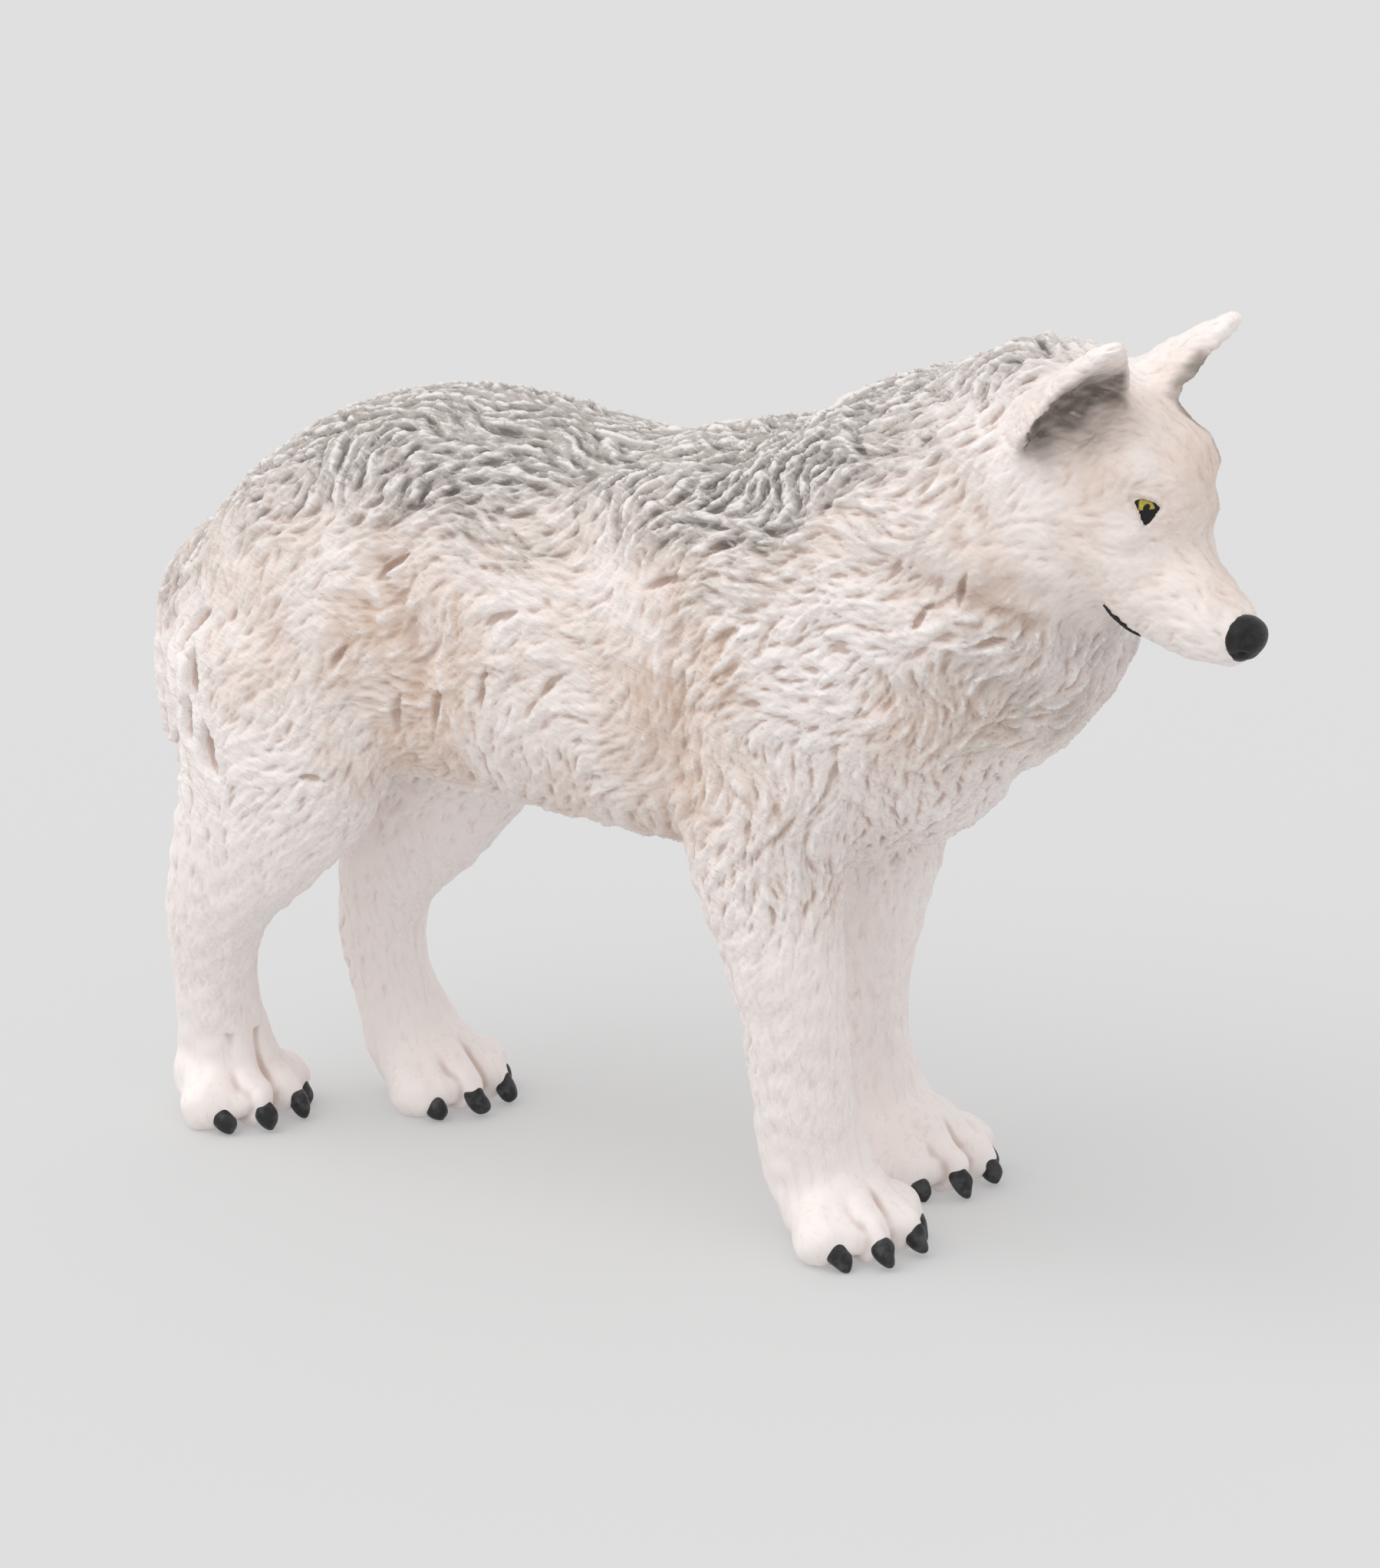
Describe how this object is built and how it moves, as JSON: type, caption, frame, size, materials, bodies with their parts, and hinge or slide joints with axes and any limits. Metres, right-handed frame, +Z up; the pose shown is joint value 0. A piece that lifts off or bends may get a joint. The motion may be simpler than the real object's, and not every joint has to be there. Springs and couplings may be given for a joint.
{
  "type": "wolf figurine",
  "caption": "Standing wolf figurine moulded in one piece, with carved shaggy fur, pricked ears, lowered head and hanging tail",
  "frame": {"origin": "middle of the bounding box, on the ground under the paws", "axes": "+X towards the nose, +Y towards the wolf's left side, +Z up"},
  "size_m": [0.1068, 0.0324, 0.0812],
  "materials": {
    "painted_coat": "hand-painted matt plastic: warm white coat, grey saddle, tan washes, black nose and claws"
  },
  "bodies": {
    "root": {"wolf": "painted_coat"}
  },
  "joints": []
}
